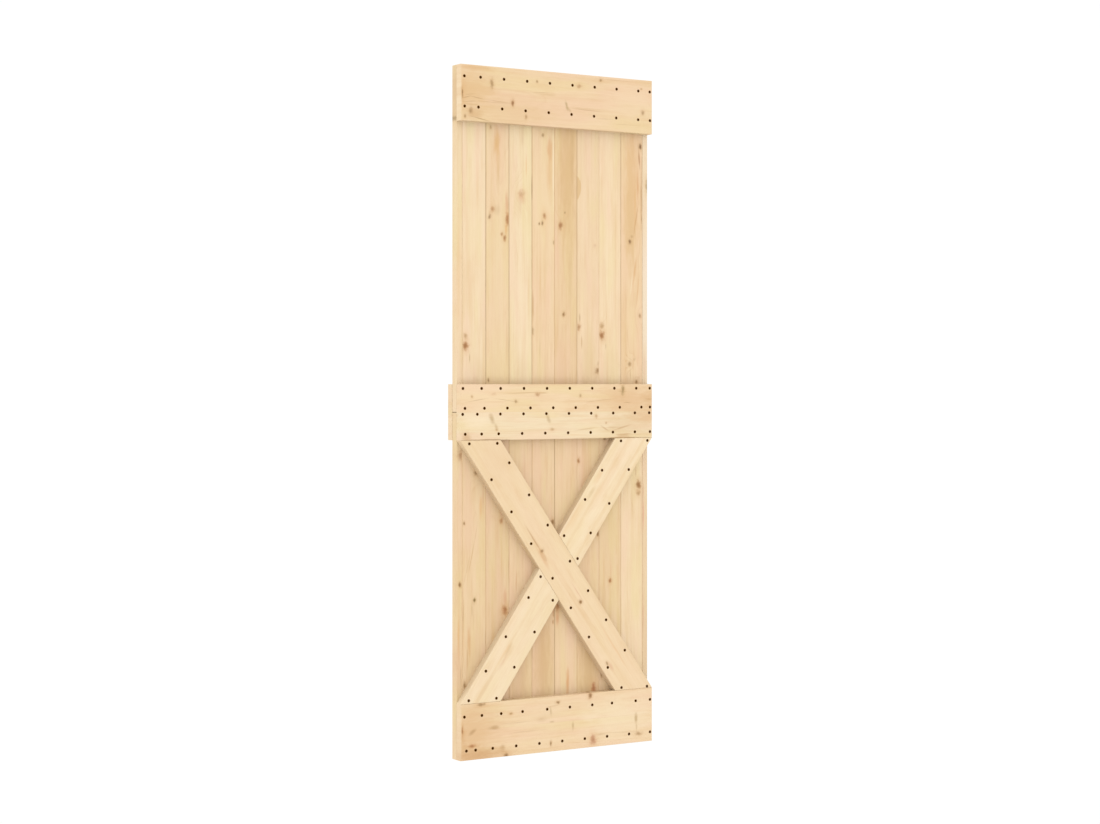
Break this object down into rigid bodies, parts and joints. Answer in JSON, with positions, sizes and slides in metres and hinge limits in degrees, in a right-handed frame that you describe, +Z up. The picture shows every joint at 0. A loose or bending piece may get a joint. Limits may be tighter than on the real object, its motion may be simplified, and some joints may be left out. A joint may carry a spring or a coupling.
{
  "type": "sliding door leaf",
  "caption": "Pine sliding door leaf of tongue-and-groove boards in two half panels, joined by rails screwed across it, with an X brace over the lower half",
  "frame": {"origin": "centre of the front face of the top rail, where the hangers of a sliding track are bolted on", "axes": "X along the leaf's width, to the right as seen from the front. Y through its thickness, the braced front facing -Y. Z up"},
  "size_m": [0.7, 0.079, 2.1],
  "materials": {
    "boards": "planed and unfinished pine, satin",
    "rails": "planed and unfinished pine, satin",
    "braces": "planed and unfinished pine, satin"
  },
  "bodies": {
    "root": {"upper_edge_strip_left": "boards", "upper_board_1": "boards", "upper_board_2": "boards", "upper_board_3": "boards", "upper_board_4": "boards", "upper_board_5": "boards", "upper_board_6": "boards", "upper_board_7": "boards", "upper_board_8": "boards", "upper_edge_strip_right": "boards", "lower_edge_strip_left": "boards", "lower_board_1": "boards", "lower_board_2": "boards", "lower_board_3": "boards", "lower_board_4": "boards", "lower_board_5": "boards", "lower_board_6": "boards", "lower_board_7": "boards", "lower_board_8": "boards", "lower_edge_strip_right": "boards", "top_rail": "rails", "middle_rail_front": "rails", "middle_rail_back": "rails", "bottom_rail": "rails", "long_brace": "braces", "short_brace_lower": "braces", "short_brace_upper": "braces"}
  },
  "joints": []
}
